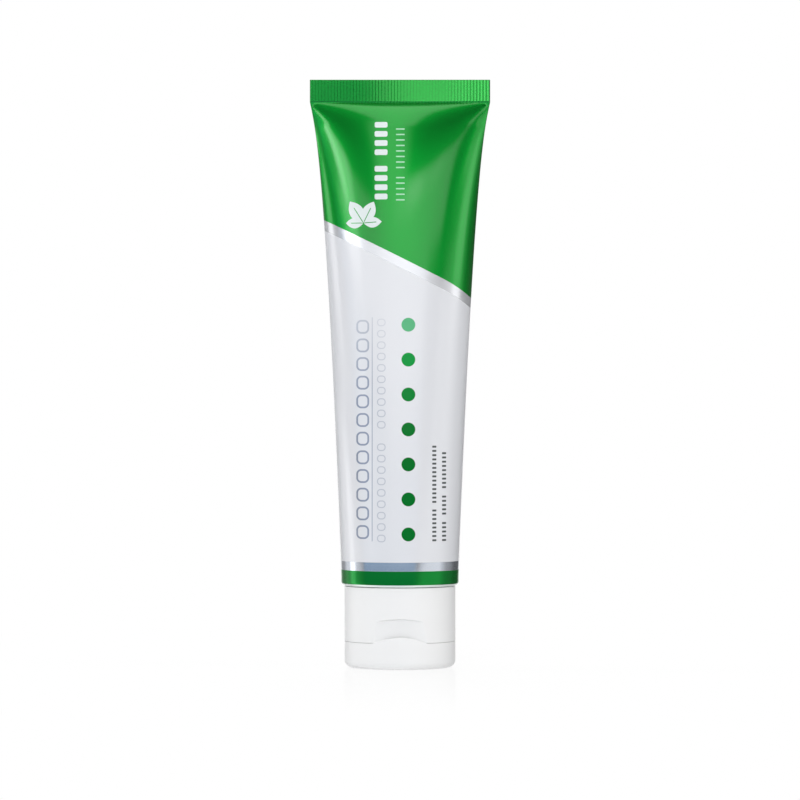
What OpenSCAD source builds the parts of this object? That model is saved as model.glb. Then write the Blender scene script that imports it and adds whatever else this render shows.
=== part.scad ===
// Laminate toothpaste tube with a crimped end and a stand-up flip-top cap.
// The tube stands on the closed lid: the foot is at z = 0 and the crimp is at the top.
// The front of the tube, with the thumb recess of the cap, faces -Y, and the lid is hinged at the back.

/* [Sleeve] */
// Diameter of the round end of the sleeve, over the shoulder
sleeve_d = 35; // [34:0.5:42]
// Length of the sleeve from the shoulder's face to the end of the crimp
sleeve_l = 150.6; // [120:0.1:190]
// Thickness of the laminate film
film_t = 0.4; // [0.3:0.05:0.5]
// Radius at which the film curls round the shoulder's edge
curl_r = 1.3; // [0.8:0.1:2]
// Height of the round land where the film is welded to the shoulder
weld_h = 1.4; // [1:0.1:3]
// Width of the film's rim that lies on the shoulder's face
curl_lap = 0.9; // [0.5:0.1:1.5]
// Step in the film at the top of the weld
weld_step = 0.02; // [0.01:0.01:0.05]
// How fast the sleeve spreads towards the crimp: 1 is a straight taper, less is a bell
spread_power = 0.51; // [0.4:0.01:1]
// Part of the height over which the spreading eases in, below the crimp
spread_ease = 0.038; // [0.01:0.001:0.1]
// Share of the spreading that is an even taper
spread_taper = 0.1; // [0:0.05:0.5]
// How sharply the side edges are pinched just below the crimp
edge_pinch = 0.6; // [0:0.05:0.8]
// Depth of the creases that run down from the crimp's corners, as a share of the depth there
crease_depth = 0.05; // [0:0.05:0.45]

/* [Crimp] */
// Height of the crimped end
crimp_h = 6.7; // [5:0.1:10]
// Distance between two ribs of the crimp
rib_pitch = 0.95; // [0.8:0.05:1.5]
// Height of a rib
rib_h = 0.16; // [0.08:0.02:0.2]

/* [Shoulder] */
// Thickness of the moulded shoulder plate
shoulder_t = 1.2; // [0.9:0.1:1.6]
// Width of the flat ring at the shoulder's edge
shoulder_ring = 1.7; // [1:0.1:2.5]
// How far the shoulder falls between the flat ring and the neck
shoulder_fall = 1.5; // [1:0.1:2.5]
// Diameter of the neck
neck_d = 16; // [13:0.5:18]
// Wall of the neck
neck_wall = 1.6; // [1.2:0.1:2]

/* [Cap] */
// Diameter of the cap
cap_d = 33; // [31.5:0.5:34]
// Height of the cap with its lid closed
cap_h = 24.15; // [22:0.05:28]
// Height of the lid
lid_h = 7.8; // [7:0.1:9]
// Wall of the cap's and lid's skirts
wall = 1.3; // [1:0.1:1.5]
// Thickness of the lid's plate, which is the foot of the tube
plate_t = 1.4; // [1.1:0.1:1.8]
// Thickness of the cap's deck
deck_t = 1.4; // [1.1:0.1:1.8]
// Radius round the edge of the foot
foot_r = 2.2; // [1.3:0.1:2.5]
// Radius inside the corner of the lid
lid_inner_r = 0.8; // [0.4:0.1:1]
// Radius round the rims of the cap
rim_r = 0.2; // [0.1:0.05:0.5]
// Height of the ring below the deck that centres the lid
guide_h = 2.2; // [1.6:0.1:2.6]
// Wall of that ring and of the ring that seals against the neck
guide_wall = 1.1; // [0.9:0.1:1.3]
// How far the snap bead stands out of the ring
bead_h = 0.15; // [0.05:0.05:0.2]
// Width of the arc that the snap bead covers, in degrees
bead_arc = 100; // [60:10:140]
// Height of the ring that seals against the neck
seal_h = 1.2; // [0.8:0.1:1.8]

/* [Spout] */
// Diameter of the orifice
orifice_d = 5.5; // [4.5:0.5:7]
// Wall of the spout
spout_wall = 1.2; // [1:0.1:1.6]
// How far the lid's plug reaches into the orifice
plug_reach = 1.4; // [0.8:0.1:1.6]

/* [Thumb recess] */
// Depth of the recess at the lid
recess_depth = 2.07; // [1.4:0.01:2.4]
// How far the recess leans inwards from its top to the lid, in degrees
recess_lean = 6; // [2:0.5:10]
// Height of the recess above the lid
recess_h = 7.1; // [5:0.1:9]
// How far its top edge is arched over its width
recess_arch = 0.9; // [0.5:0.1:1.5]
// How far the lid's lip rises into the recess
lip_rise = 1.8; // [1:0.1:2.4]

/* [Hinge] */
// Width of the flat at the back of the cap
flat_w = 13; // [11:0.5:15]
// Height of the flat above the lid
flat_h = 6; // [4:0.5:9]
// Width of the film hinge
film_hinge_w = 10; // [7:0.5:10.5]
// Thickness of the film hinge
film_hinge_t = 0.35; // [0.25:0.05:0.5]
// Height of the film hinge
film_hinge_h = 2.6; // [2:0.1:3.4]

/* [Clearances] */
// Between the shoulder and the top rim of the cap
shoulder_gap = 0.15; // [0.1:0.05:0.6]
// Between the rims of the lid and the cap
rim_gap = 0.1; // [0.1:0.05:0.3]
// Between the lid's skirt and the ring that centres it
guide_fit = 0.3; // [0.25:0.05:0.4]
// Between the shoulder's cone and the top of the socket
socket_gap = 0.5; // [0.3:0.1:1]
// Between the neck and the socket that turns on it
neck_fit = 0.1; // [0.05:0.01:0.15]
// Between the neck's end and the ring that seals it
seal_gap = 0.1; // [0.05:0.05:0.2]
// Between the plug and the orifice while the lid swings
plug_fit = 0.06; // [0.04:0.01:0.1]
// Between the spout's tip and the lid's plate
spout_gap = 1.8; // [1.2:0.1:2.2]
// Between the lid's lip and the recess
lip_gap = 0.3; // [0.2:0.05:0.4]

/* [Hidden] */
$fn = 96;

// Colours of the plastics and of the printed film
pearl = [0.89, 0.89, 0.92];
green = [0.09, 0.56, 0.22];
white = [0.95, 0.95, 0.95];

// Heights, from the foot up
part_z = lid_h + rim_gap;
deck_top = part_z + deck_t;
neck_end = deck_top + seal_h + seal_gap;
shoulder_z = cap_h + shoulder_gap;
curl_z = shoulder_z + curl_r;
weld_z = curl_z + weld_h;
tube_top = shoulder_z + sleeve_l;
crimp_z = tube_top - crimp_h;
spout_tip = plate_t + spout_gap;

// Radii of the round end
sleeve_r = sleeve_d / 2;
inner_r = sleeve_r - film_t;
face_r = sleeve_r - curl_r;
ring_r = face_r - shoulder_ring;
neck_r = neck_d / 2;
bore_r = neck_r - neck_wall;
core_r = inner_r - shoulder_t;
neck_top = shoulder_z - shoulder_fall;
fall = shoulder_fall / (ring_r - neck_r);

// Radius at which the sleeve rises from its weld, a hair inside the weld's own
loft_r = sleeve_r - weld_step;

// The film can't stretch: its inner faces meet in the crimp, so half its inner girth is the flat width
crimp_w = PI * inner_r;
crimp_t = 2 * film_t;
flat_half = crimp_w / 2;
girth_round = 2 * PI * loft_r;
girth_flat = 2 * crimp_w;

// Sleeve loft: points round a section, sections up the sleeve, and steps of the search for a depth
sides = 72;
rings = 30;
ring_crowding = 1.8;
search_steps = 16;
tuck = 0.4;
tuck_half = film_t / 2;
root_half = film_t * 0.75;
root_drop = 0.05;
crease_start = 0.98;
crease_slope = 1;
crease_width = 0.035;
crease_spread = 0.25;
crease_end = 0.42;
pinch_fade = 3;

// Cap
cap_r = cap_d / 2;
cavity_r = cap_r - wall;
flat_y = sqrt(cap_r ^ 2 - (flat_w / 2) ^ 2);
recess_y = cap_r - recess_depth;
recess_half_w = sqrt(cap_r ^ 2 - recess_y ^ 2);
recess_top = part_z + recess_h;
arch_r = arc_radius(recess_half_w, recess_arch);
lip_r = arc_radius(recess_half_w, lip_rise);
lip_y = recess_y + (lip_rise - rim_gap) * tan(recess_lean) + lip_gap;
hinge_y = flat_y + film_hinge_t / 2;
hinge_z = lid_h + rim_gap / 2;
guide_r = cavity_r - guide_fit;
bead_share = 0.7;
bead_z = part_z - guide_h * bead_share;
socket_r = neck_r + neck_fit;
socket_top = neck_top - socket_gap;
spout_r = orifice_d / 2 + spout_wall;
sink = 0.5;
far = 2 * cap_d;

// The plug tapers by as much as the lid's swing carries it sideways while it leaves the orifice
plug_mouth_r = orifice_d / 2 - 2 * plug_fit;
plug_drift = plug_reach * (hinge_z - spout_tip - plug_reach / 2) / hinge_y;
plug_tip_r = plug_mouth_r - plug_drift;
plug_flare = 0.4;
plug_edge = 0.25;
plug_flare_z = spout_tip - spout_gap / 4;

// Radius of an arc from its half width and its rise
function arc_radius(half_w, rise) = (half_w ^ 2 + rise ^ 2) / (2 * rise);

// Points of an arc, for the outline of a turned solid
function arc(x, y, r, from, to, steps = 12) =
    [for (i = [0:steps]) let (a = from + (to - from) * i / steps) [x + r * cos(a), y + r * sin(a)]];

// Half the sleeve's width at a share of the way from the crimp, 0, down to the round end, 1
function from_ease(t) = sqrt(t ^ 2 + spread_ease ^ 2) - spread_ease;
function eased(t) = from_ease(t) / from_ease(1);
function narrowing(t) = (1 - spread_taper) * eased(t) ^ spread_power + spread_taper * t;
function half_width(t) = flat_half - (flat_half - loft_r) * narrowing(t);

// One corner crease: a dent beside each edge, which moves in, widens and fades away from the crimp
function crease(u, t) = let (
        fade = max(0, 1 - t / crease_end) ^ 2,
        middle = crease_start - crease_slope * t,
        width = crease_width + crease_spread * t
    ) crease_depth * fade * exp(-((abs(u) - middle) / width) ^ 2);

// Depth of the film at a point of a section, as a share of the section's half depth
function shape(c, s, t) =
    sign(s) * abs(s) ^ (1 + edge_pinch * (1 - t) ^ pinch_fade) * (1 - crease(c, t));

// The outline of the sleeve at one height
function section(a, b, t) =
    [for (i = [0:sides - 1]) let (q = 360 * i / sides) [a * cos(q), b * shape(cos(q), sin(q), t)]];

function girth(p, i = 0, sum = 0) =
    i == len(p) ? sum : girth(p, i + 1, sum + norm(p[i] - p[(i + 1) % len(p)]));

// Half the depth that gives a section of this width the film's girth
function half_depth(a, t, low, high, steps) =
    steps == 0 ? (low + high) / 2 :
    let (mid = (low + high) / 2, want = girth_flat + (girth_round - girth_flat) * t)
    girth(section(a, mid, t)) < want
        ? half_depth(a, t, mid, high, steps - 1)
        : half_depth(a, t, low, mid, steps - 1);

function sleeve_ring(t) = let (
        a = half_width(t),
        b = t >= 1 ? loft_r : half_depth(a, t, 0, loft_r, search_steps)
    ) section(a, b, t);

function at_height(p, z) = [for (q = p) [q.x, q.y, z]];

// Closed loft through rings with the same number of points
module loft(layers) {
    n = len(layers[0]);
    last = len(layers) - 1;
    bottom = [for (i = [0:n - 1]) i];
    top = [for (i = [n - 1:-1:0]) last * n + i];
    walls = [
        for (k = [0:last - 1], i = [0:n - 1]) let (
            here = k * n + i,
            next = k * n + (i + 1) % n
        ) each [[here, here + n, next], [next, here + n, next + n]]
    ];
    polyhedron(points = [for (layer = layers) each layer], faces = concat([bottom, top], walls));
}

// The film from the weld up to the crimp, where it is tucked between the crimp's faces
module sleeve() {
    shares = [for (k = [rings:-1:1]) (k / rings) ^ ring_crowding];
    root = section(flat_half - root_drop, root_half, 1);
    tucked = section(flat_half - tuck, tuck_half, 1);
    loft(concat(
        [for (t = shares) at_height(sleeve_ring(t), crimp_z - t * (crimp_z - weld_z))],
        [at_height(root, crimp_z - root_drop), at_height(tucked, crimp_z + tuck)]
    ));
}

// The flat end: the film's two walls welded between ribbed jaws, which leave ribs along the tube
module crimp() {
    count = round(crimp_w / rib_pitch);
    pitch = crimp_w / count;
    front = [for (i = [0:2 * count]) [-flat_half + i * pitch / 2, -crimp_t / 2 - (i % 2) * rib_h]];
    back = [for (i = [2 * count:-1:0]) [-flat_half + i * pitch / 2, crimp_t / 2 + (1 - i % 2) * rib_h]];
    translate([0, 0, crimp_z])
        linear_extrude(crimp_h)
            polygon(concat(front, back));
}

// The welded round end of the film, curled round the shoulder's edge, and the paste inside it
module filled_end() {
    rotate_extrude()
        polygon(concat(
            [[0, neck_end], [bore_r, neck_end], [bore_r, inner_face(bore_r)], [ring_r, inner_face(ring_r)],
             [core_r, inner_face(ring_r)], [core_r, weld_z]],
            [[inner_r, weld_z], [inner_r, curl_z]],
            arc(face_r, curl_z, curl_r - film_t, 0, -90),
            [[face_r - curl_lap, shoulder_z + film_t], [face_r - curl_lap, shoulder_z]],
            arc(face_r, curl_z, curl_r, -90, 0),
            [[sleeve_r, weld_z], [sleeve_r - tuck_half, weld_z], [sleeve_r - tuck_half, weld_z + sink],
             [0, weld_z + sink]]
        ));
}

// Height of the shoulder's outer and inner faces at a radius
function outer_face(r) = shoulder_z - max(0, ring_r - r) * fall;
function inner_face(r) = outer_face(r) + shoulder_t;

module tube() {
    color(pearl) filled_end();
    color(pearl) sleeve();
    color(green) crimp();
}

// Shoulder plate and neck, moulded in one piece inside the sleeve's round end
module shoulder() {
    color(white)
        rotate_extrude()
            polygon(concat(
                [[bore_r, neck_end], [neck_r, neck_end], [neck_r, neck_top], [ring_r, shoulder_z],
                 [face_r - curl_lap, shoulder_z], [face_r - curl_lap, shoulder_z + film_t]],
                arc(face_r, curl_z, curl_r - film_t, -90, 0),
                [[inner_r, weld_z], [core_r, weld_z], [core_r, inner_face(ring_r)],
                 [ring_r, inner_face(ring_r)], [bore_r, inner_face(bore_r)]]
            ));
}

// Solid of revolution with rounded outer edges
module drum(r, low, high, r_low, r_high) {
    rotate_extrude()
        polygon(concat(
            [[0, low]],
            arc(r - r_low, low + r_low, r_low, -90, 0),
            arc(r - r_high, high - r_high, r_high, 0, 90),
            [[0, high]]
        ));
}

// Everything behind the flat at the back, moved forwards by inset and raised by it too
module behind_flat(inset, low, high) {
    translate([-far / 2, flat_y - inset, low])
        cube([far, far, high + inset - low]);
}

// The thumb recess: in front of a leaning face and under an arched top edge, grown on all sides
module recess(grow) {
    intersection() {
        translate([0, -recess_y + grow, part_z])
            rotate([recess_lean, 0, 0])
                translate([-far / 2, -far, -far / 2])
                    cube([far, far, far]);
        translate([0, 0, recess_top - arch_r])
            rotate([90, 0, 0])
                cylinder(h = far, r = arch_r + grow);
        translate([-far / 2, -far, part_z - far])
            cube([far, far, far + recess_h + grow]);
    }
}

// Round ring with a flat at the back
module flatted_ring(r, ring_wall, inset, low, high) {
    difference() {
        translate([0, 0, low])
            cylinder(h = high - low, r = r);
        translate([0, 0, low - sink])
            cylinder(h = high - low + 2 * sink, r = r - ring_wall);
        behind_flat(inset, low - sink, high);
    }
    intersection() {
        translate([0, 0, low])
            cylinder(h = high - low, r = r);
        translate([-far / 2, flat_y - inset - ring_wall, low])
            cube([far, ring_wall, high - low]);
    }
}

// The lower half of the cap: skirt, deck, socket for the neck, guide ring and spout
module cap_base() {
    color(white)
        difference() {
            union() {
                cap_shell();
                flatted_ring(guide_r, guide_wall, wall + guide_fit, part_z - guide_h, part_z + sink);
                snap_bead();
                socket();
                translate([0, 0, spout_tip])
                    cylinder(h = part_z + sink - spout_tip, r = spout_r);
            }
            translate([0, 0, spout_tip - sink])
                cylinder(h = deck_top - spout_tip + 2 * sink, d = orifice_d);
        }
}

// Skirt and deck, with the back flat and the thumb recess moulded in at an even wall
module cap_shell() {
    difference() {
        drum(cap_r, part_z, cap_h, rim_r, rim_r);
        behind_flat(0, part_z - sink, lid_h + flat_h);
        recess(0);
        difference() {
            translate([0, 0, deck_top])
                cylinder(h = cap_h - deck_top + sink, r = cavity_r);
            behind_flat(wall, deck_top - sink, lid_h + flat_h);
            recess(wall);
        }
    }
}

// Socket that turns on the neck, and the ring that seals against the neck's end
module socket() {
    translate([0, 0, deck_top - sink])
        difference() {
            cylinder(h = socket_top - deck_top + sink, r = socket_r + wall);
            translate([0, 0, sink])
                cylinder(h = socket_top, r = socket_r);
        }
    translate([0, 0, deck_top - sink])
        difference() {
            cylinder(h = seal_h + sink, r = bore_r + guide_wall);
            cylinder(h = seal_h + 2 * sink, r = bore_r);
        }
}

// Bead at the front of the guide ring, over which the lid snaps
module snap_bead() {
    rotate_extrude(angle = bead_arc, start = 270 - bead_arc / 2)
        polygon([
            [guide_r - sink, bead_z - sink], [guide_r, bead_z - 2 * bead_h], [guide_r + bead_h, bead_z],
            [guide_r, bead_z + 2 * bead_h], [guide_r - sink, bead_z + sink]
        ]);
}

// The lid: skirt and plate, which is the foot of the tube, with the plug and the thumb lip
module lid() {
    color(white) {
        difference() {
            drum(cap_r, 0, lid_h + 2 * lip_rise, foot_r, rim_r);
            behind_flat(0, -sink, lid_h + far);
            difference() {
                drum(cavity_r, plate_t, lid_h + 3 * lip_rise, lid_inner_r, rim_r);
                behind_flat(wall, 0, lid_h + far);
            }
            above_rim();
        }
        plug();
    }
}

// What lies above the lid's chamfered rim, except the thumb lip
module above_rim() {
    difference() {
        union() {
            translate([-far / 2, -far / 2, lid_h])
                cube([far, far, far]);
            rotate_extrude()
                polygon([
                    [cap_r - rim_r, lid_h + sink], [cap_r - rim_r, lid_h], [cap_r + sink, lid_h - rim_r - sink],
                    [cap_r + sink, lid_h + sink]
                ]);
        }
        lip();
    }
}

// The arched lip on the front of the rim, which the thumb lifts
module lip() {
    intersection() {
        translate([0, 0, lid_h + lip_rise - lip_r])
            rotate([90, 0, 0])
                cylinder(h = far, r = lip_r);
        translate([-far / 2, -far - lip_y, 0])
            cube([far, far, far]);
    }
}

// Tapered plug that closes the orifice
module plug() {
    rotate_extrude()
        polygon([
            [0, plate_t - sink], [plug_mouth_r + plug_flare, plate_t - sink],
            [plug_mouth_r + plug_flare, plug_flare_z], [plug_mouth_r, spout_tip],
            [plug_tip_r, spout_tip + plug_reach - plug_edge], [plug_tip_r - plug_edge, spout_tip + plug_reach],
            [0, spout_tip + plug_reach]
        ]);
}

// Film hinge across the parting line, welded to the flats of the cap and the lid
module living_hinge() {
    color(white)
        translate([-film_hinge_w / 2, flat_y, hinge_z - film_hinge_h / 2])
            cube([film_hinge_w, film_hinge_t, film_hinge_h]);
}

tube();
shoulder();
cap_base();
living_hinge();
lid();
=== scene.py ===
import math

import bmesh
import bpy
import numpy as np
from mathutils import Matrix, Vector


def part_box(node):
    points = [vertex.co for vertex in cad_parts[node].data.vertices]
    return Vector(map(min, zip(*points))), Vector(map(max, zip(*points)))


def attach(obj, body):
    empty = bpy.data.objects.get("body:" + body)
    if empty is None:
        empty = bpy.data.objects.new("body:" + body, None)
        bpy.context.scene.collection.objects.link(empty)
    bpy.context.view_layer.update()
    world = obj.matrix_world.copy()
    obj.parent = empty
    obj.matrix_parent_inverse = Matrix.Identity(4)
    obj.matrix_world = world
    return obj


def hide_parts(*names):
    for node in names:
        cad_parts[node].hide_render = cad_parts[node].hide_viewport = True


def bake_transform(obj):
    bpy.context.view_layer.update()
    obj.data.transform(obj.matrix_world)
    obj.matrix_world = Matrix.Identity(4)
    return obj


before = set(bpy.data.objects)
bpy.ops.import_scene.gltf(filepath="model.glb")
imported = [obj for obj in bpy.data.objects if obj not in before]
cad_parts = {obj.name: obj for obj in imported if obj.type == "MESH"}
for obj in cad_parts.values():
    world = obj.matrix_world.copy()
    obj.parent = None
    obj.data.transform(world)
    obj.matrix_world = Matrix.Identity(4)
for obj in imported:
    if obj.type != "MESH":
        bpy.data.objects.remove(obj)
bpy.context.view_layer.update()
MM = 0.001


# Camera
# The photograph is taken level, from 1.18 m in front of the tube and a little below its middle,
# through a long lens.
CAMERA_DISTANCE = 1.177
CAMERA_HEIGHT = 0.0795
LENS = 177.75
SENSOR = 36

camera = bpy.data.objects.new("camera", bpy.data.cameras.new("camera"))
camera.location = (0, -CAMERA_DISTANCE, CAMERA_HEIGHT)
camera.rotation_euler = (math.radians(90), 0, 0)
camera.data.lens = LENS
camera.data.sensor_width = SENSOR
camera.data.clip_end = 20
bpy.context.scene.collection.objects.link(camera)
bpy.context.scene.camera = camera
bpy.context.scene.view_settings.view_transform = "Standard"


# Sleeve
# One sheet of laminate film, rolled into a tube with a lap seam at the back, welded and curled round the
# shoulder at the bottom, filled, and pressed flat between ribbed jaws at the top.
def sheet(name, points, sharp_angle):
    """An object whose surface runs through rows of points, closed where the ends of the rows meet."""
    rows_up, columns = len(points) - 1, len(points[0]) - 1
    bm = bmesh.new()
    bmesh.ops.create_grid(bm, x_segments=columns, y_segments=rows_up, size=1)
    for v in bm.verts:
        v.co = points[round((1 - v.co.y) / 2 * rows_up)][round((v.co.x + 1) / 2 * columns)]
    bmesh.ops.remove_doubles(bm, verts=bm.verts, dist=1e-6)
    bmesh.ops.recalc_face_normals(bm, faces=bm.faces)
    for f in bm.faces:
        f.smooth = True
    made = bpy.data.objects.new(name, bpy.data.meshes.new(name))
    bm.to_mesh(made.data)
    bm.free()
    made.data.set_sharp_from_angle(angle=math.radians(sharp_angle))
    bpy.context.scene.collection.objects.link(made)
    return made


def smooth_step(value):
    value = np.clip(value, 0, 1)
    return value * value * (3 - 2 * value)


tube_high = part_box("tube")[1]
shoulder_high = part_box("shoulder")[1]
sleeve_r = tube_high.y
film_t = sleeve_r - shoulder_high.x
flat_half = tube_high.x
tube_top = tube_high.z
weld_z = shoulder_high.z
CRIMP_H = 6.7 * MM
CURL_R = 1.3 * MM
WELD_H = 1.4 * MM
LAP = 0.9 * MM
crimp_z = tube_top - CRIMP_H
curl_z = weld_z - WELD_H
shoulder_z = curl_z - CURL_R

# The shape between the weld and the crimp: how the width spreads, the pinched edges and the corner creases
SPREAD_POWER = 0.51
SPREAD_EASE = 0.038
SPREAD_TAPER = 0.1
EDGE_PINCH = 0.6
PINCH_START = 0.2
PINCH_RISE = 0.06
CREASE_DEPTH = 0.05
CREASE_START = 0.98
CREASE_WIDTH = 0.035
CREASE_SPREAD = 0.25
CREASE_END = 0.42

# Ribs left by the jaws, the sag of the crimp's lower edge, and the lap seam
RIBS = 57
RIB_H = 0.16 * MM
RIB_SLANT = 0.22
RIB_END = 0.35 * MM
CRIMP_SAG = 0.15 * MM
SEAM_HALF = 1.1 * MM
SEAM_T = 0.14 * MM

COLUMNS = 12 * RIBS
SLEEVE_ROWS = 74
ROW_CROWDING = 2.2
DENSE = 2048
GIRTH_STEPS = 24


def narrowing(t):
    eased = (math.hypot(t, SPREAD_EASE) - SPREAD_EASE) / (math.hypot(1, SPREAD_EASE) - SPREAD_EASE)
    return (1 - SPREAD_TAPER) * eased ** SPREAD_POWER + SPREAD_TAPER * t


def half_width(t):
    return flat_half - (flat_half - sleeve_r) * narrowing(t)


def outline(a, b, t):
    """The film's section, from the back seam round the left side, at a share t of the way down."""
    q = np.radians(90 + 360 * np.linspace(0, 1, DENSE + 1))
    u, v = np.cos(q), np.sin(q)
    fade = max(0.0, 1 - t / CREASE_END) ** 2
    width = CREASE_WIDTH + CREASE_SPREAD * t
    dent = CREASE_DEPTH * fade * np.exp(-((np.abs(u) - (CREASE_START - t)) / width) ** 2)
    pinch = EDGE_PINCH * (1 - t) ** 3 * min(1, PINCH_START + t / PINCH_RISE)
    depth = np.sign(v) * np.abs(v) ** (1 + pinch) * (1 - dent)
    return np.column_stack([a * u, b * depth])


def lengths_along(points):
    return np.concatenate([[0], np.cumsum(np.hypot(*np.diff(points, axis=0).T))])


def sleeve_outline(t):
    """The section whose girth is the film's: the width follows the photograph, the depth gives way."""
    a = half_width(t)
    want = 4 * flat_half + (2 * math.pi * sleeve_r - 4 * flat_half) * t
    low, high = 0.0, sleeve_r
    for _ in range(GIRTH_STEPS):
        middle = (low + high) / 2
        if lengths_along(outline(a, middle, t))[-1] < want:
            low = middle
        else:
            high = middle
    return outline(a, (low + high) / 2, t)


def even_columns(points):
    """The same section with the film's own columns, evenly spaced along it."""
    along = lengths_along(points)
    share = np.linspace(0, along[-1], COLUMNS + 1)
    return np.column_stack([np.interp(share, along, points[:, 0]), np.interp(share, along, points[:, 1])])


def two_films(x, half):
    """Half the thickness of the two films that lie on each other, rounded at the side folds."""
    fold = np.clip((np.abs(x) - (half - film_t)) / film_t, 0, 1)
    return film_t * np.sqrt(1 - fold ** 2)


def film_row(section, z):
    return np.column_stack([section, np.full(len(section), z)])


column = np.arange(COLUMNS + 1) % COLUMNS
side = np.where((column > COLUMNS // 4) & (column < 3 * COLUMNS // 4), -1.0, 1.0)
flat = even_columns(outline(flat_half, 1e-7, 0))
wave = 0.5 - 0.5 * np.cos(math.pi * RIBS * (flat[:, 0] / flat_half + 1))
rib = RIB_H * (1 + RIB_SLANT * flat[:, 0] / flat_half) * np.where(side < 0, wave, 1 - wave)


def crimp_row(z, thick, ribbed):
    row = flat.copy()
    row[:, 1] = side * (two_films(row[:, 0], flat_half) * thick + rib * ribbed)
    row[np.abs(row[:, 0]) > flat_half - 1e-6, 1] = 0
    return film_row(row, z)


def sleeve_row(t):
    row = even_columns(sleeve_outline(t))
    least = two_films(row[:, 0], half_width(t))
    row[:, 1] = side * np.maximum(np.abs(row[:, 1]), least)
    row[np.abs(row[:, 0]) > half_width(t) - 1e-6, 1] = 0
    return film_row(row, crimp_z - t * (crimp_z - weld_z))


def round_row(r, z):
    q = np.radians(90 + 360 * np.linspace(0, 1, COLUMNS + 1))
    return film_row(np.column_stack([r * np.cos(q), r * np.sin(q)]), z)


# Rows from the cut edge down: crimp, sleeve, weld, curl over the shoulder, and the inside that it hides
CUT_R = 0.06 * MM
CUT_SHARE = 0.9
CUT_RIB = 0.6
END_RIB = 0.05
CURL_STEPS = 8
SHOULDER_T = 1.2 * MM
rib_end = crimp_z + RIB_END
face_r = sleeve_r - CURL_R
inner_r = sleeve_r - film_t

rows = [crimp_row(tube_top, 0, 0), crimp_row(tube_top, CUT_SHARE, CUT_RIB),
        crimp_row(tube_top - CUT_R, 1, 1), crimp_row(tube_top - 2 * CUT_R, 1, 1)]
rows += [crimp_row(tube_top - (tube_top - rib_end) * k / 4, 1, 1) for k in (1, 2, 3)]
rows += [crimp_row(rib_end + CUT_R, 1, 1), crimp_row(rib_end, 1, 1)]
rows += [crimp_row(crimp_z + RIB_END / 2, 1, 0.5), crimp_row(crimp_z, 1, END_RIB)]
rows += [sleeve_row((k / SLEEVE_ROWS) ** ROW_CROWDING) for k in range(1, SLEEVE_ROWS + 1)]
rows += [round_row(sleeve_r, z) for z in (weld_z - WELD_H / 2, curl_z)]
for k in range(1, CURL_STEPS + 1):
    turn = math.radians(90 * k / CURL_STEPS)
    rows.append(round_row(face_r + CURL_R * math.cos(turn), curl_z - CURL_R * math.sin(turn)))
rows += [round_row(face_r - LAP, shoulder_z), round_row(face_r - LAP, shoulder_z + film_t)]
for k in range(CURL_STEPS, -1, -2):
    turn = math.radians(90 * k / CURL_STEPS)
    rows.append(round_row(face_r + (CURL_R - film_t) * math.cos(turn),
                          curl_z - (CURL_R - film_t) * math.sin(turn)))
rows += [round_row(r, weld_z) for r in (inner_r, inner_r - SHOULDER_T, 0)]
rows = np.array(rows)

# The crimp's lower edge sags in the middle, and the lap seam stands up a little at the back
SAG_REACH = 6 * MM
SEAM_EDGE = 0.3 * MM
SEAM_START = 8 * MM
SEAM_RISE = 6 * MM
SEAM_FALL = 4 * MM
row_z = rows[:, :1, 2]
near_crimp = np.clip(1 - np.abs(row_z - crimp_z) / SAG_REACH, 0, 1) * (row_z < tube_top - CRIMP_H / 2)
rows[:, :, 2] -= CRIMP_SAG * near_crimp * (1 - (rows[:, :, 0] / flat_half) ** 2)
from_seam = np.minimum(np.arange(COLUMNS + 1), COLUMNS - np.arange(COLUMNS + 1)) * 4 * flat_half / COLUMNS
lapped = np.clip((SEAM_HALF - from_seam) / SEAM_EDGE, 0, 1)
free_film = np.clip((row_z - weld_z - SEAM_START) / SEAM_RISE, 0, 1)
free_film *= np.clip((crimp_z - row_z) / SEAM_FALL, 0, 1)
rows[:, :, 1] += SEAM_T * lapped[None, :] * free_film
film = sheet("printed_sleeve", rows, sharp_angle=50)


def plain(red, green, blue):
    """A colour as it looks on a screen, from 0 to 255, in the linear values that Blender works in."""
    channels = [c / 255 for c in (red, green, blue)]
    return (*[c / 12.92 if c <= 0.04045 else ((c + 0.055) / 1.055) ** 2.4 for c in channels], 1)


def new_material(name):
    material = bpy.data.materials.new(name)
    material.use_nodes = True
    return material, material.node_tree, material.node_tree.nodes["Principled BSDF"]


def feed(tree, socket, value):
    if isinstance(value, bpy.types.NodeSocket):
        tree.links.new(value, socket)
    else:
        socket.default_value = value


def add_node(tree, kind, inputs=(), **settings):
    made = tree.nodes.new(kind)
    for name, value in settings.items():
        setattr(made, name, value)
    for k, value in dict(inputs).items():
        feed(tree, made.inputs[k], value)
    return made


def calc(tree, operation, *values):
    return add_node(tree, "ShaderNodeMath", enumerate(values), operation=operation).outputs[0]


def ramp_up(tree, value, at, soft):
    """0 below a value and 1 above it, with a soft step between."""
    spread = {"Value": value, "From Min": at - soft, "From Max": at + soft}
    return add_node(tree, "ShaderNodeMapRange", spread, interpolation_type="SMOOTHSTEP").outputs[0]


def between(tree, value, low, high, soft):
    return calc(tree, "SUBTRACT", ramp_up(tree, value, low, soft), ramp_up(tree, value, high, soft))


def blend_colour(tree, share, a, b):
    mixed = add_node(tree, "ShaderNodeMix", {"Factor": share}, data_type="RGBA")
    feed(tree, mixed.inputs[6], a)
    feed(tree, mixed.inputs[7], b)
    return mixed.outputs[2]


def blend_value(tree, share, a, b):
    mixed = add_node(tree, "ShaderNodeMix", {"Factor": share}, data_type="FLOAT")
    feed(tree, mixed.inputs[2], a)
    feed(tree, mixed.inputs[3], b)
    return mixed.outputs[0]


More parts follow.
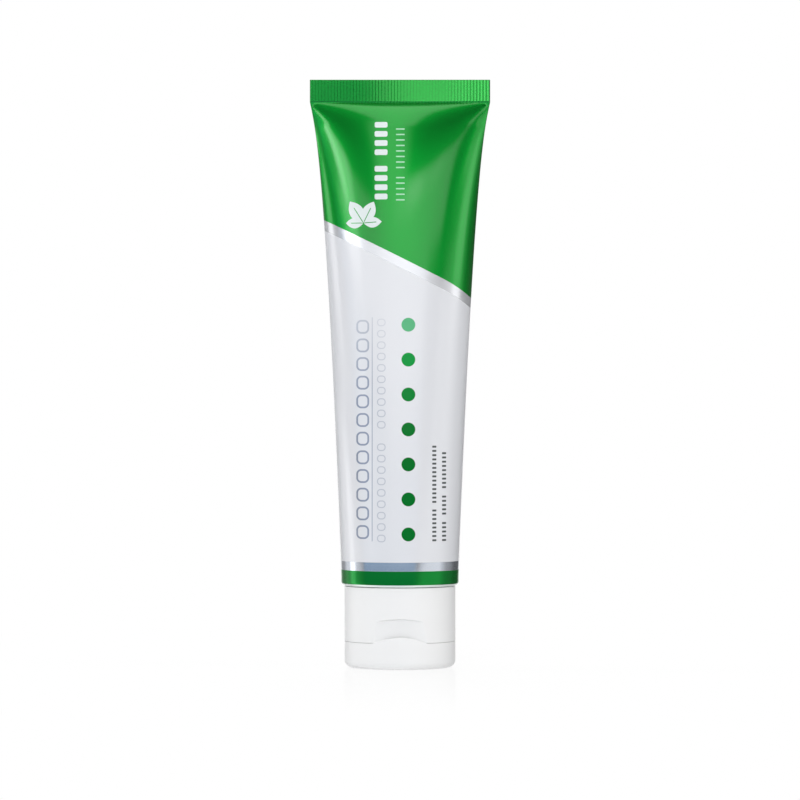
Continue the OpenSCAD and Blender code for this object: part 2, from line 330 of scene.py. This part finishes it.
def marks(tree, along, start, pitch, count):
    """Distance from the middle of the nearest of a row of like marks, and that mark's number from below."""
    number = calc(tree, "ROUND", calc(tree, "DIVIDE", calc(tree, "SUBTRACT", along, start), pitch))
    number = calc(tree, "MINIMUM", calc(tree, "MAXIMUM", number, 0), count - 1)
    middle = calc(tree, "MULTIPLY_ADD", number, pitch, start)
    return calc(tree, "SUBTRACT", along, middle), number


def rounded(tree, across, along, half_across, half_along, corner, stroke=0.0):
    """A filled bar with rounded corners, or with a stroke only its outline."""
    a, b = [calc(tree, "MAXIMUM", calc(tree, "SUBTRACT", calc(tree, "ABSOLUTE", away), half - corner), 0)
            for away, half in ((across, half_across), (along, half_along))]
    far = calc(tree, "SQRT", calc(tree, "ADD", calc(tree, "MULTIPLY", a, a), calc(tree, "MULTIPLY", b, b)))
    if stroke:
        far = calc(tree, "ABSOLUTE", calc(tree, "SUBTRACT", far, corner - stroke / 2))
        return calc(tree, "SUBTRACT", 1, ramp_up(tree, far, stroke / 2, INK_EDGE))
    return calc(tree, "SUBTRACT", 1, ramp_up(tree, far, corner, INK_EDGE))


def any_of(tree, masks):
    """Where at least one of the masks is."""
    union = masks[0]
    for mask in masks[1:]:
        union = calc(tree, "MAXIMUM", union, mask)
    return union


def mark_rows(tree, x, z, groups, pitch, half_across, half_along, corner, stroke=0.0):
    """Rows of like marks up the tube, in mm. A group is its place across, its first height and its count."""
    masks = []
    for across, first, count in groups:
        away = calc(tree, "SUBTRACT", x, across * MM)
        along = marks(tree, z, first * MM, pitch * MM, count)[0]
        masks.append(rounded(tree, away, along, half_across * MM, half_along * MM, corner * MM, stroke * MM))
    return any_of(tree, masks)


def leaf(tree, x, z, at_x, at_z, angle, length, width):
    """A pointed oval with a thin bare midrib, which grows from a point in a direction, in mm and degrees."""
    turn = math.radians(angle)
    away_x, away_z = calc(tree, "SUBTRACT", x, at_x * MM), calc(tree, "SUBTRACT", z, at_z * MM)
    along = calc(tree, "ADD", calc(tree, "MULTIPLY", away_x, math.cos(turn)),
                 calc(tree, "MULTIPLY", away_z, math.sin(turn)))
    beside = calc(tree, "ABSOLUTE", calc(tree, "SUBTRACT", calc(tree, "MULTIPLY", away_z, math.cos(turn)),
                                         calc(tree, "MULTIPLY", away_x, math.sin(turn))))
    share = calc(tree, "DIVIDE", along, length * MM)
    hump = calc(tree, "MULTIPLY", share, calc(tree, "SUBTRACT", 1, share))
    half = calc(tree, "MULTIPLY", hump, 2 * width * MM)
    inside = ramp_up(tree, calc(tree, "SUBTRACT", half, beside), 0, INK_EDGE)
    off_rib = ramp_up(tree, beside, MIDRIB_HALF, INK_EDGE)
    past_rib = ramp_up(tree, share, MIDRIB_SHARE, MIDRIB_FADE)
    return calc(tree, "MULTIPLY", inside, calc(tree, "MAXIMUM", off_rib, past_rib))


# The print, in the film's own place: a slanted green field with a silver stripe, and two bands round the foot
# of the film
GREEN = plain(10, 161, 52)
BAND_GREEN = plain(2, 130, 48)
SILVER = plain(223, 224, 228)
STEEL = plain(200, 206, 215)
PEARL = plain(224, 225, 229)
# The bare rim of silver laminate is painted near white with a green tint: a painted highlight over the
# silver, which also lifts the painted-over shade under it
RIM_SILVER_AND_SHEEN = plain(238, 246, 242)
SLANT_Z = 121.7 * MM
SLANT = 0.5
BEND_START = 13 * MM
BEND = 20
STRIPE_W = 3.1 * MM
SILVER_BAND = (29.1 * MM, 31.7 * MM)
GREEN_BAND = (25.0 * MM, 29.1 * MM)
INK_EDGE = 0.05 * MM
MIDRIB_HALF = 0.12 * MM
MIDRIB_SHARE = 0.7
MIDRIB_FADE = 0.02

film_material, tree, shader = new_material("printed film")
place = add_node(tree, "ShaderNodeTexCoord").outputs["Object"]
x, y, z = add_node(tree, "ShaderNodeSeparateXYZ", {0: place}).outputs
front = calc(tree, "LESS_THAN", y, 0)
slant = calc(tree, "MULTIPLY_ADD", x, SLANT, z)
past = calc(tree, "MAXIMUM", calc(tree, "SUBTRACT", x, BEND_START), 0)
slant = calc(tree, "ADD", slant, calc(tree, "MULTIPLY", calc(tree, "MULTIPLY", past, past), BEND))
green_field = ramp_up(tree, slant, SLANT_Z, INK_EDGE)
stripe = between(tree, slant, SLANT_Z - STRIPE_W, SLANT_Z, INK_EDGE)
silver_band = between(tree, z, *SILVER_BAND, INK_EDGE)
green_band = between(tree, z, *GREEN_BAND, INK_EDGE)
bare_rim = calc(tree, "SUBTRACT", 1, ramp_up(tree, z, GREEN_BAND[0], INK_EDGE))

# The dots: the lower ones alike, then lighter step by step, and the topmost pale
DOT_X = 2.47 * MM
DOT_R = 2.04 * MM
DOT_LOW = 40.0 * MM
DOT_PITCH = 10.28 * MM
DOTS = 7
DOT_LOWEST, DOT_UPPER, DOT_TOP = plain(0, 108, 34), plain(0, 148, 60), plain(92, 180, 128)
DOTS_ALIKE = 2
DOTS_STEPS = 3
dot_dz, dot_number = marks(tree, z, DOT_LOW, DOT_PITCH, DOTS)
dot = rounded(tree, calc(tree, "SUBTRACT", x, DOT_X), dot_dz, DOT_R, DOT_R, DOT_R)
upper = calc(tree, "DIVIDE", calc(tree, "SUBTRACT", dot_number, DOTS_ALIKE), DOTS_STEPS)
upper = calc(tree, "MAXIMUM", upper, 0)
upper = calc(tree, "MINIMUM", calc(tree, "MULTIPLY", upper, upper), 1)
dot_colour = blend_colour(tree, upper, DOT_LOWEST, DOT_UPPER)
topmost = calc(tree, "GREATER_THAN", dot_number, DOTS - 1.5)
dot_colour = blend_colour(tree, topmost, dot_colour, DOT_TOP)

# Plain marks, read with the tube on its side: a row of silver links with a rule beside it, a finer row, two
# rows of grey dashes, and white bars, thin bars and a sprig on the green field
DASH_GROUPS = ((10.1, 38.2, 8), (10.1, 49.5, 14), (13.0, 38.2, 5), (13.0, 46.0, 5), (13.0, 53.8, 9))
SPRIG_X, SPRIG_Z = -10.8, 131.8
SPRIG_LEAVES = ((64, 7.0, 3.9), (122, 7.6, 4.2), (180, 5.2, 3.1), (4, 5.4, 3.1))

links = mark_rows(tree, x, z, ((-11.0, 40.6, 12),), 5.5, 1.9, 2.05, 1.5, 0.52)
rule = mark_rows(tree, x, z, ((-8.2, 70.9, 1),), 1, 0.1, 33, 0.1)
fine = mark_rows(tree, x, z, ((-5.5, 38.8, 9), (-5.5, 72.2, 10)), 3.35, 1.25, 1.1, 1.0, 0.28)
dashes = mark_rows(tree, x, z, DASH_GROUPS, 1.25, 0.62, 0.3, 0.2)
bars = mark_rows(tree, x, z, ((-5.6, 139.6, 4), (-5.6, 152.8, 4)), 2.75, 1.9, 0.85, 0.5)
thin_bars = mark_rows(tree, x, z, ((0.1, 138.6, 5), (0.1, 148.2, 8)), 1.65, 1.3, 0.2, 0.2)
sprig = any_of(tree, [leaf(tree, x, z, SPRIG_X, SPRIG_Z, *shape) for shape in SPRIG_LEAVES])

# The silver marks fade up the tube, and the marks and dots are on the front only
FINE_WEIGHT = 0.5
SILVER_FADE = 0.75
FADE_Z = 98 * MM
FADE_HALF = 20 * MM
SILVER_INK = plain(148, 156, 175)
DASH = plain(88, 92, 92)
WHITE_INK = plain(222, 230, 230)
PALE_INK = plain(170, 222, 186)
silver_marks = any_of(tree, [links, rule, calc(tree, "MULTIPLY", fine, FINE_WEIGHT)])
fade = calc(tree, "MULTIPLY_ADD", ramp_up(tree, z, FADE_Z, FADE_HALF), -SILVER_FADE, 1)
silver_marks = calc(tree, "MULTIPLY", silver_marks, calc(tree, "MULTIPLY", front, fade))
colour = PEARL
for mask, shade in ((silver_band, STEEL), (stripe, SILVER), (green_field, GREEN), (green_band, BAND_GREEN),
                    (bare_rim, RIM_SILVER_AND_SHEEN), (silver_marks, SILVER_INK)):
    colour = blend_colour(tree, mask, colour, shade)
inks = []
for mask, shade in ((dot, dot_colour), (dashes, DASH), (bars, WHITE_INK), (thin_bars, PALE_INK),
                    (sprig, WHITE_INK)):
    inks.append(calc(tree, "MULTIPLY", mask, front))
    colour = blend_colour(tree, inks[-1], colour, shade)
ink = any_of(tree, inks)


def blend_steps(tree, value, steps):
    """A value that changes where masks are, the last of them on top."""
    for mask, share in steps:
        value = blend_value(tree, mask, value, share)
    return value


# How the inks shine: metallic under a clear lacquer. The jaws leave the crimp's ribs smoother than the free
# film.
CRIMP_EDGE = 0.2 * MM
crimp = ramp_up(tree, z, crimp_z, CRIMP_EDGE)
metal = blend_steps(tree, 0.08, ((stripe, 0.55), (silver_band, 0.85), (green_field, 0.8), (green_band, 0.6),
                                 (bare_rim, 0.3), (silver_marks, 0.5), (ink, 0)))
rough = blend_steps(tree, 0.33, ((stripe, 0.22), (silver_band, 0.12), (green_band, 0.15), (crimp, 0.16)))
coat = blend_steps(tree, 1, ((silver_band, 0.5), (green_field, 0.8), (green_band, 0.25), (ink, 0.3)))
for name, value in (("Base Color", colour), ("Metallic", metal), ("Roughness", rough), ("Coat Weight", coat)):
    feed(tree, shader.inputs[name], value)
shader.inputs["Specular IOR Level"].default_value = 0
shader.inputs["Coat Roughness"].default_value = 0.08

# The film isn't quite even: shallow waves over the paste, a crimp that leans back a little on its right half,
# and the fine orange peel of the lacquer
WAVE_SCALE = 55
WAVE_H = 0.05 * MM
PEEL_SCALE = 1100
PEEL_H = 0.0016 * MM
LEAN_SLOPE = 0.07
LEAN_HALF = 16 * MM
waves, peel = [add_node(tree, "ShaderNodeTexNoise", {"Vector": place, "Scale": scale, "Detail": 1}).outputs[0]
               for scale in (WAVE_SCALE, PEEL_SCALE)]
lean = calc(tree, "MULTIPLY", calc(tree, "SUBTRACT", z, crimp_z), crimp)
lean = calc(tree, "MULTIPLY", calc(tree, "MULTIPLY", lean, ramp_up(tree, x, 0, LEAN_HALF)), -LEAN_SLOPE)
bump = {"Strength": 1, "Distance": WAVE_H, "Height": waves}
uneven = add_node(tree, "ShaderNodeBump", bump).outputs[0]
bump = {"Strength": 1, "Distance": 1, "Height": lean, "Normal": uneven}
uneven = add_node(tree, "ShaderNodeBump", bump).outputs[0]
bump = {"Strength": 1, "Distance": PEEL_H, "Height": peel, "Normal": uneven}
lacquer = add_node(tree, "ShaderNodeBump", bump).outputs[0]
feed(tree, shader.inputs["Normal"], uneven)
feed(tree, shader.inputs["Coat Normal"], lacquer)
film.data.materials.append(film_material)
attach(film, "tube")
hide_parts("tube")


# Shoulder
# A plate of moulded polyethylene with the neck below it, welded inside the sleeve's round end. The cap and
# the sleeve hide it, so it keeps the frame's own shape, with the faint clouds of unpainted plastic.
CLOUD_SCALE = 400
CLOUD_DARK, CLOUD_LIGHT = plain(222, 222, 219), plain(229, 229, 226)
shoulder_material, tree, shader = new_material("shoulder plastic")
place = add_node(tree, "ShaderNodeTexCoord").outputs["Object"]
cloud = add_node(tree, "ShaderNodeTexNoise", {"Vector": place, "Scale": CLOUD_SCALE, "Detail": 2}).outputs[0]
feed(tree, shader.inputs["Base Color"], blend_colour(tree, cloud, CLOUD_DARK, CLOUD_LIGHT))
feed(tree, shader.inputs["Roughness"], blend_value(tree, cloud, 0.45, 0.55))
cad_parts["shoulder"].data.materials.clear()
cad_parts["shoulder"].data.materials.append(shoulder_material)


# Cap
# White polypropylene with a satin surface: a skirt with a thumb recess in front and a flat for the hinge at
# the back, a deck with the socket for the neck, and below it the spout and the ring that centres the lid.
cap_low, cap_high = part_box("cap_base")
hinge_low, hinge_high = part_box("living_hinge")
cap_r = cap_high.x
cap_top = cap_high.z
spout_tip = cap_low.z
flat_y = hinge_low.y
LID_H = 7.8 * MM
RIM_GAP = 0.1 * MM
RIM_R = 0.04 * MM
WALL = 1.3 * MM
DECK_T = 1.4 * MM
part_z = LID_H + RIM_GAP
deck_top = part_z + DECK_T
cavity_r = cap_r - WALL
FLAT_H = 6 * MM
flat_top = LID_H + FLAT_H

# Thumb recess: a leaning face under an arched top edge
recess_y = cap_r - 2.07 * MM
RECESS_LEAN = math.tan(math.radians(6))
RECESS_TOP = part_z + 7.1 * MM
RECESS_ARCH = 0.9 * MM
recess_half = math.sqrt(cap_r ** 2 - recess_y ** 2)
SOFT_EDGE = 0.3 * MM

# Guide ring with the bead that the lid snaps over, socket, sealing ring and spout
GUIDE_FIT = 0.3 * MM
GUIDE_WALL = 1.1 * MM
GUIDE_H = 2.2 * MM
BEAD_H = 0.15 * MM
BEAD_HALF_ARC = math.radians(50)
BEAD_FADE = 0.05
BEAD_SHARE = 0.7
guide_r = cavity_r - GUIDE_FIT
bead_z = part_z - BEAD_SHARE * GUIDE_H
SOCKET_R = 8.1 * MM
SOCKET_TOP = 22.3 * MM
BORE_R = 6.4 * MM
SEAL_TOP = deck_top + 1.2 * MM
ORIFICE_R = 2.75 * MM
SPOUT_R = 3.95 * MM
MOULD_R = 0.15 * MM

# Columns of the turned pieces, from the back round: close together at the recess and at the flat
front_columns = np.arange(-36, 36.1, 0.75)
side_columns = np.arange(39, 147, 3)
back_columns = np.arange(148, 212.1, 2)
angles = np.radians(np.concatenate([
    back_columns[back_columns >= 180] - 360, -side_columns[::-1], front_columns,
    side_columns, back_columns[back_columns <= 180],
]))


def arch(x, half, rise):
    """Height of an arch over its ends."""
    r = (half ** 2 + rise ** 2) / (2 * rise)
    return rise - r + np.sqrt(np.maximum(r ** 2 - x ** 2, 0))


def soft_max(a, b, soft):
    return (a + b + np.sqrt((a - b) ** 2 + soft ** 2)) / 2


def with_recess(x, y, z, inset):
    """The skirt's outer or inner face, pressed in by the thumb recess."""
    face = recess_y + max(z - part_z, 0) * RECESS_LEAN - inset
    edge = RECESS_TOP - RECESS_ARCH + arch(x, recess_half, RECESS_ARCH) + inset
    outside = smooth_step((z - edge) / (2 * SOFT_EDGE) + 0.5)
    return soft_max(y, -(face + (cap_r + MM - face) * outside), SOFT_EDGE / 2)


def with_flat(y, z, inset, top):
    """The skirt's face, cut by the flat at the back up to a height."""
    above = smooth_step((z - top) / (2 * SOFT_EDGE) + 0.5)
    return np.minimum(y, flat_y - inset + (cap_r + MM - flat_y) * above)


def round_off(r, z, size, start, end, steps=4):
    """Profile points of a rounded edge round a centre, between two directions in degrees."""
    turns = np.radians(np.linspace(start, end, steps + 1))
    return [(r + size * math.cos(q), z + size * math.sin(q)) for q in turns]


def turned(name, profile, shape):
    """A turned piece: profile points with the face that each lies on, and what shapes that face."""
    rings = []
    for face, r, z in profile:
        x, y = r * np.sin(angles), -r * np.cos(angles)
        rings.append(np.column_stack(shape(face, r, z, x, y)))
    return sheet(name, np.array(rings), sharp_angle=40)


def cap_shape(face, r, z, x, y):
    if face == "skirt":
        y = with_recess(x, y, z, cap_r - r)
        y = with_flat(y, z, cap_r - r, flat_top)
    if face == "inside":
        y = with_recess(x, y, z, WALL)
        y = with_flat(y, z, WALL, flat_top)
    if face == "guide":
        y = with_flat(y, z, WALL + GUIDE_FIT + guide_r - r, flat_top)
    if face == "bead":
        turn = np.abs(np.arctan2(x, -y))
        out = 1 + BEAD_H / r * smooth_step((BEAD_HALF_ARC - turn) / BEAD_FADE)
        x, y = x * out, with_flat(y * out, z, WALL + GUIDE_FIT, flat_top)
    return x, y, np.full(len(x), z)


def on_face(face, points):
    return [(face, r, z) for r, z in points]


# Rings up the cap's faces, close together at the recess's top edge, and the profile from the rim inwards
heights = np.concatenate([np.linspace(part_z + 2 * RIM_R, RECESS_TOP - 1.5 * MM, 12),
                          np.linspace(RECESS_TOP - 1.3 * MM, RECESS_TOP + 0.6 * MM, 16),
                          np.linspace(RECESS_TOP + MM, cap_top - 2 * RIM_R, 8)])
cap_profile = [
    *on_face("skirt", round_off(cap_r - RIM_R, part_z + RIM_R, RIM_R, -90, 0)),
    *on_face("skirt", [(cap_r, z) for z in heights]),
    *on_face("skirt", round_off(cap_r - RIM_R, cap_top - RIM_R, RIM_R, 0, 90)),
    ("inside", cavity_r, cap_top), *on_face("inside", [(cavity_r, z) for z in heights[::-1] if z > deck_top]),
    ("inside", cavity_r, deck_top), ("", SOCKET_R + WALL, deck_top), ("", SOCKET_R + WALL, SOCKET_TOP),
    ("", SOCKET_R, SOCKET_TOP), ("", SOCKET_R, deck_top), ("", BORE_R + GUIDE_WALL, deck_top),
    ("", BORE_R + GUIDE_WALL, SEAL_TOP), ("", BORE_R, SEAL_TOP), ("", BORE_R, deck_top),
    ("", ORIFICE_R, deck_top),
    *on_face("", round_off(ORIFICE_R + MOULD_R, spout_tip + MOULD_R, MOULD_R, 180, 270)),
    *on_face("", round_off(SPOUT_R - MOULD_R, spout_tip + MOULD_R, MOULD_R, -90, 0)),
    ("", SPOUT_R, part_z), ("guide", guide_r - GUIDE_WALL, part_z),
    ("guide", guide_r - GUIDE_WALL, part_z - GUIDE_H + MOULD_R),
    ("guide", guide_r - GUIDE_WALL + MOULD_R, part_z - GUIDE_H),
    ("guide", guide_r - MOULD_R, part_z - GUIDE_H), ("guide", guide_r, part_z - GUIDE_H + MOULD_R),
    ("guide", guide_r, bead_z - 2 * BEAD_H),
    ("bead", guide_r, bead_z), ("guide", guide_r, bead_z + 2 * BEAD_H), ("guide", guide_r, part_z),
    ("skirt", cap_r - RIM_R, part_z),
]
cap = turned("cap_moulding", cap_profile, cap_shape)

cap_material, tree, shader = new_material("cap plastic")
shader.inputs["Base Color"].default_value = plain(240, 240, 240)

# Satin from a spark-eroded mould: a fine grain, and a gloss that varies a little with it
GRAIN_SCALE = 2600
GRAIN_H = 0.003 * MM
place = add_node(tree, "ShaderNodeTexCoord").outputs["Object"]
grain = add_node(tree, "ShaderNodeTexNoise", {"Vector": place, "Scale": GRAIN_SCALE, "Detail": 2}).outputs[0]
bumps = add_node(tree, "ShaderNodeBump", {"Strength": 1, "Distance": GRAIN_H, "Height": grain}).outputs[0]
feed(tree, shader.inputs["Normal"], bumps)
feed(tree, shader.inputs["Roughness"], blend_value(tree, grain, 0.34, 0.42))
cap.data.materials.append(cap_material)
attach(cap, "cap")
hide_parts("cap_base")


# Lid
# The foot of the tube, moulded in one with the cap: a round plate with a skirt, whose rim rises in front into
# an arched lip for the thumb, and the plug that closes the spout.
FOOT_R = 2.2 * MM
FOOT_RING = 2 * MM
INNER_R = 0.8 * MM
PLATE_T = 1.4 * MM
LIP_RISE = 1.8 * MM
LIP_ZONE = 3 * MM
PLUG_FLARE_R = 3.03 * MM
PLUG_MOUTH_R = 2.63 * MM
PLUG_TIP_R = 2.27 * MM
PLUG_TIP = spout_tip + 1.4 * MM
PLUG_EDGE = 0.25 * MM
PLUG_TAPER = 0.45 * MM


def lid_shape(face, r, z, x, y):
    lift = np.zeros(len(x))
    if face:
        lift = np.maximum(arch(x, recess_half, LIP_RISE), 0) * (y < 0)
        lift *= min(max((z - LID_H + LIP_ZONE) / LIP_ZONE, 0), 1)
    if face == "skirt":
        y = with_flat(y, z, cap_r - r, cap_top)
    if face == "inside":
        y = with_flat(y, z, WALL, cap_top)
    return x, y, z + lift


lid_profile = [
    ("", 0, 0), ("", cap_r - FOOT_R - FOOT_RING, 0),
    *on_face("skirt", round_off(cap_r - FOOT_R, FOOT_R, FOOT_R, -90, 0, 10)),
    *on_face("skirt", [(cap_r, z) for z in np.linspace(FOOT_R + MM, LID_H - 2 * RIM_R, 10)]),
    *on_face("skirt", round_off(cap_r - RIM_R, LID_H - RIM_R, RIM_R, 0, 90)),
    ("inside", cavity_r + MOULD_R, LID_H), ("inside", cavity_r, LID_H - MOULD_R),
    ("inside", cavity_r, LID_H - LIP_ZONE),
    *on_face("inside", round_off(cavity_r - INNER_R, PLATE_T + INNER_R, INNER_R, 0, -90)),
    ("", PLUG_FLARE_R, PLATE_T), ("", PLUG_FLARE_R, spout_tip - PLUG_TAPER), ("", PLUG_MOUTH_R, spout_tip),
    ("", PLUG_TIP_R, PLUG_TIP - PLUG_EDGE), ("", PLUG_TIP_R - PLUG_EDGE, PLUG_TIP), ("", 0, PLUG_TIP),
]
lid = turned("lid_moulding", lid_profile, lid_shape)
lid.data.materials.append(cap_material)
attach(lid, "lid")
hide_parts("lid")


# Film hinge
# A thin web of the same plastic, moulded with the cap and the lid. It lies across the parting line at the
# back and bends when the lid swings.
HINGE_CUTS = 25
hinge_middle = (hinge_low + hinge_high) / 2
bm = bmesh.new()
bmesh.ops.create_cube(bm, size=1)
bmesh.ops.scale(bm, vec=hinge_high - hinge_low, verts=bm.verts)
bmesh.ops.translate(bm, vec=hinge_middle, verts=bm.verts)
upright = [e for e in bm.edges if abs(e.verts[0].co.z - e.verts[1].co.z) > MM]
bmesh.ops.subdivide_edges(bm, edges=upright, cuts=HINGE_CUTS, use_grid_fill=True)
hinge = bpy.data.objects.new("film_hinge", bpy.data.meshes.new("film_hinge"))
bm.to_mesh(hinge.data)
bm.free()
bpy.context.scene.collection.objects.link(hinge)
hinge.data.materials.append(cap_material)
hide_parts("living_hinge")
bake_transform(hinge)


# Floor, backdrop and light
# To the camera the surroundings are plain white, and the floor fades into them. The film and the cap mirror a
# room of painted panels round the tube, and three fill lights that nothing mirrors brighten the matte faces.
WHITE_ROOM = (1, 1, 1, 1)
FLOOR_HALF = 4
FLOOR_SHARE = 0.22
FLOOR_REACH = 200 * MM
FLOOR_GLOW = 0.55

bm = bmesh.new()
bmesh.ops.create_grid(bm, x_segments=1, y_segments=1, size=FLOOR_HALF)
floor = bpy.data.objects.new("floor", bpy.data.meshes.new("floor"))
bm.to_mesh(floor.data)
bm.free()
bpy.context.scene.collection.objects.link(floor)
floor_material, tree, shader = new_material("floor")
shader.inputs["Base Color"].default_value = plain(240, 240, 240)
shader.inputs["Roughness"].default_value = 0.1

# The camera sees a share of the real floor near the tube and plain white farther out. Glossy faces see
# through the floor to the room, and matte faces take light from a floor that is partly white.
white = add_node(tree, "ShaderNodeEmission", {"Color": WHITE_ROOM, "Strength": 1.0}).outputs[0]
place = add_node(tree, "ShaderNodeTexCoord").outputs["Object"]
x, y, z = add_node(tree, "ShaderNodeSeparateXYZ", {0: place}).outputs
far = calc(tree, "SQRT", calc(tree, "ADD", calc(tree, "MULTIPLY", x, x), calc(tree, "MULTIPLY", y, y)))
real = {"Value": far, "From Min": 0, "From Max": FLOOR_REACH, "To Min": FLOOR_SHARE, "To Max": 0}
real = add_node(tree, "ShaderNodeMapRange", real, interpolation_type="SMOOTHSTEP").outputs[0]
ray = add_node(tree, "ShaderNodeLightPath").outputs
share = calc(tree, "MULTIPLY", ray["Is Camera Ray"], calc(tree, "SUBTRACT", 1, real))
share = calc(tree, "MAXIMUM", share, calc(tree, "MULTIPLY", ray["Is Diffuse Ray"], FLOOR_GLOW))
mixed = add_node(tree, "ShaderNodeMixShader", {0: share, 1: shader.outputs[0], 2: white}).outputs[0]
clear = add_node(tree, "ShaderNodeBsdfTransparent").outputs[0]
mixed = add_node(tree, "ShaderNodeMixShader", {0: ray["Is Glossy Ray"], 1: mixed, 2: clear}).outputs[0]
tree.links.new(mixed, tree.nodes["Material Output"].inputs["Surface"])
floor.data.materials.append(floor_material)

# The room, as directions from the tube: degrees from the front round to the right, and degrees upwards
world = bpy.data.worlds.new("studio")
bpy.context.scene.world = world
world.use_nodes = True
tree = world.node_tree
background = tree.nodes["Background"]
background.inputs["Strength"].default_value = 1
direction = add_node(tree, "ShaderNodeTexCoord").outputs["Generated"]
dx, dy, dz = add_node(tree, "ShaderNodeSeparateXYZ", {0: direction}).outputs
round_to = calc(tree, "DEGREES", calc(tree, "ARCTAN2", dx, calc(tree, "MULTIPLY", dy, -1)))
rise_to = calc(tree, "DEGREES", calc(tree, "ARCSINE", dz))


def grey(radiance):
    return (radiance, radiance, radiance, 1)


def panel(behind, across, upwards, radiance, soft, tilt):
    """A light or a dark panel before what is behind it, with soft edges, all in degrees."""
    wide = between(tree, round_to, *across, soft[0])
    high = between(tree, calc(tree, "MULTIPLY_ADD", round_to, -tilt, rise_to), *upwards, soft[1])
    return blend_colour(tree, calc(tree, "MULTIPLY", wide, high), behind, radiance)


# The panels, each over those before it: from where to where round and upwards, how bright, how soft the edges
# are both ways, and how much the panel climbs to the right
DARK_ROOM = grey(0.05)
TABLE = (0.29, 0.42, 0.57, 1)
PANELS = (
    ((-200, -128), (-90, 60), grey(0.35), (6, 3), 0),
    ((-75, 32), (-90, 6), TABLE, (5, 1.5), 0),
    ((90, 200), (-90, -0.5), grey(0.4), (6, 0.8), 0),
    ((34, 92), (-90, 2.2), grey(1.1), (12, 0.8), 0),
    ((-62, 24), (6, 13), grey(1.58), (3, 1.2), 0),
    ((-22, 48), (6, 17.5), grey(1.58), (4, 2), 0),
    ((30, 66), (2.6, 8.5), DARK_ROOM, (4, 1), 0),
    ((50, 76), (2.2, 6.2), grey(1), (5, 0.8), 0),
    ((0, 38), (13.5, 17), grey(2.2), (5, 2), 0.03),
    ((-5, 20), (13.5, 16.5), grey(3.4), (5, 1.6), 0.05),
    ((-68, -46), (7, 14.5), grey(4), (3.5, 1.5), 0),
    ((-65, -55), (7.4, 13), grey(6.5), (3, 1.2), 0),
    ((70, 89), (2.2, 60), grey(1.9), (4, 0.8), 0),
    ((-88, -74), (-90, 2.5), grey(0.5), (3, 1), 0),
    ((-110, -90), (0.8, 60), grey(1.9), (3, 0.8), 0),
    ((-132, -83), (-90, -1.2), grey(1), (9, 0.5), 0),
    ((-112, -97), (-90, -1.2), grey(2.3), (4, 0.5), 0),
    ((118, 165), (-90, -0.5), grey(0.08), (16, 0.8), 0),
    ((-20, 6), (14, 58), grey(1.45), (5, 4), 0),
)
light = DARK_ROOM
for across, upwards, radiance, soft, tilt in PANELS:
    light = panel(light, across, upwards, radiance, soft, tilt)

# A light overhead, and the bright backdrop low behind the tube
OVERHEAD_FROM, OVERHEAD_TO, OVERHEAD_RISE = -0.16, 0.12, 46
BACKDROP_TURN, BACKDROP_TOP = 160, 14
overhead = calc(tree, "MULTIPLY", between(tree, dx, OVERHEAD_FROM, OVERHEAD_TO, 0.03),
                ramp_up(tree, rise_to, OVERHEAD_RISE, 4))
light = blend_colour(tree, overhead, light, grey(1.6))
backdrop = calc(tree, "MULTIPLY", ramp_up(tree, calc(tree, "ABSOLUTE", round_to), BACKDROP_TURN, 3),
                between(tree, rise_to, -90.1, BACKDROP_TOP, 2))
light = blend_colour(tree, backdrop, light, grey(1))
seen = add_node(tree, "ShaderNodeLightPath").outputs["Is Camera Ray"]
feed(tree, background.inputs["Color"], blend_colour(tree, seen, light, WHITE_ROOM))

FILL_AIM = Vector((0, 0, 90 * MM))


def fill_light(name, azimuth, elevation, distance, size, radiance):
    """A soft light in a direction from the tube, counted as the room is, which no surface mirrors."""
    fill = bpy.data.objects.new(name, bpy.data.lights.new(name, "AREA"))
    fill.data.shape = "RECTANGLE"
    fill.data.size, fill.data.size_y = size
    fill.data.energy = radiance * math.pi * size[0] * size[1]
    turn, rise = math.radians(azimuth), math.radians(elevation)
    direction = Vector((math.sin(turn) * math.cos(rise), -math.cos(turn) * math.cos(rise), math.sin(rise)))
    fill.location = FILL_AIM + direction * distance
    fill.rotation_euler = direction.to_track_quat("Z", "Y").to_euler()
    fill.visible_camera = False
    fill.visible_glossy = False
    bpy.context.scene.collection.objects.link(fill)


fill_light("front_fill", -2, 20, 1.5, (2.0, 1.6), 0.65)
fill_light("back_fill", 180, 25, 1.5, (2.0, 1.6), 0.9)
fill_light("top_fill", 0, 89, 1.2, (2.2, 2.2), 0.86)
